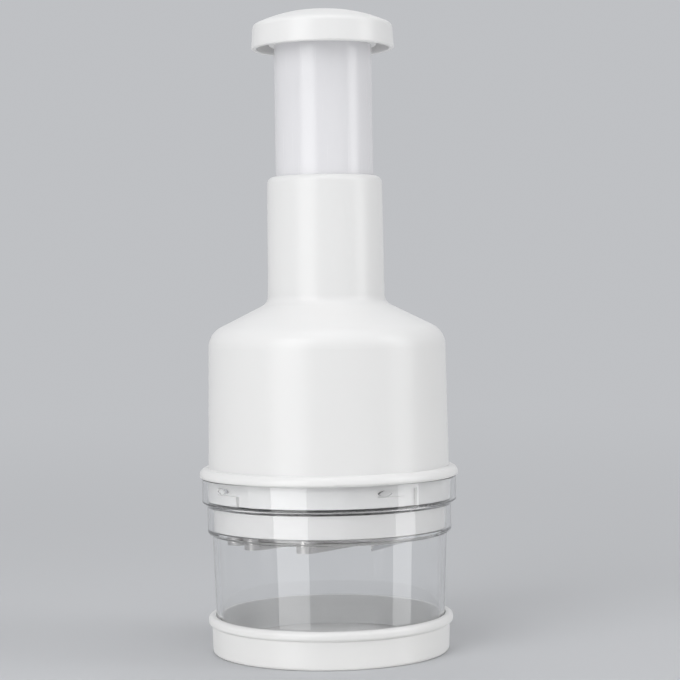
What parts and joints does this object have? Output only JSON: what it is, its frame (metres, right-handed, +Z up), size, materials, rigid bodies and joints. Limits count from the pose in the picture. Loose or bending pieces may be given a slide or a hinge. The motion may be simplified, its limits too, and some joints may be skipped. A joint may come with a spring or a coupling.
{
  "type": "plunger food chopper",
  "caption": "Food chopper with a clear chamber in a white cup, a bottle-shaped housing and a domed press knob that drives a zigzag steel blade.",
  "frame": {"origin": "centre of the cup's underside", "axes": "+Z up along the plunger, -Y towards the front of the picture"},
  "size_m": [0.095, 0.095, 0.2351],
  "materials": {
    "white_plastic": "moulded white, satin gloss",
    "disc_plastic": "moulded white, satin gloss",
    "stem_plastic": "moulded bluish white, gloss",
    "clear_plastic": "clear, polished",
    "bearing_plastic": "moulded natural, matt",
    "hub_plastic": "moulded white, matt",
    "soft_ring": "moulded, matt",
    "screw_steel": "plated",
    "spring_steel": "drawn wire",
    "blade_steel": "rolled stainless, ground edge"
  },
  "bodies": {
    "base": {"base_cup": "white_plastic"},
    "chamber": {"chopping_chamber": "clear_plastic"},
    "housing": {"housing": "white_plastic", "bayonet_ring": "white_plastic", "neck_bush": "bearing_plastic", "spring_plate": "bearing_plastic", "plate_screws": "screw_steel", "bumper_ring": "soft_ring", "ratchet_ring": "screw_steel", "drive_nut": "bearing_plastic", "nut_spring": "spring_steel", "nut_cap": "bearing_plastic", "return_spring": "spring_steel"},
    "plunger": {"stem_tube": "stem_plastic", "stop_ring": "bearing_plastic", "stem_plug": "stem_plastic", "spindle_bush": "bearing_plastic", "knob_cap": "white_plastic"},
    "blade_set": {"spindle": "screw_steel", "spindle_washer": "screw_steel", "spindle_screw": "screw_steel", "hub_screws": "screw_steel", "blade_hub": "hub_plastic", "zigzag_blade": "blade_steel"},
    "wiper": {"wiper_disc": "disc_plastic"}
  },
  "joints": [
    {"name": "cup_lift", "type": "slide", "parent": "base", "child": "chamber", "axis": [0, 0, 1], "range_m": [0, 0.06]},
    {"name": "bayonet_twist", "type": "hinge", "parent": "chamber", "child": "housing", "pos_m": [0, 0, 0.06], "axis": [0, 0, -1], "range_deg": [0, 14]},
    {"name": "press", "type": "slide", "parent": "housing", "child": "plunger", "axis": [0, 0, -1], "range_m": [0, 0.037], "stiffness_N_per_m": 600, "springref_m": -0.018, "deforming": ["return_spring"]},
    {"name": "blade_index", "type": "hinge", "parent": "plunger", "child": "blade_set", "pos_m": [0, 0, 0.1], "axis": [0, 0, 1], "range_deg": [0, 60]},
    {"name": "wiper_turn", "type": "hinge", "parent": "housing", "child": "wiper", "pos_m": [0, 0, 0.05], "axis": [0, 0, 1], "range_deg": [0, 60]}
  ],
  "couplings": [
    {"joint": "blade_index", "follows": "press", "rad_per_m": 28.3},
    {"joint": "wiper_turn", "follows": "press", "rad_per_m": 28.3}
  ]
}
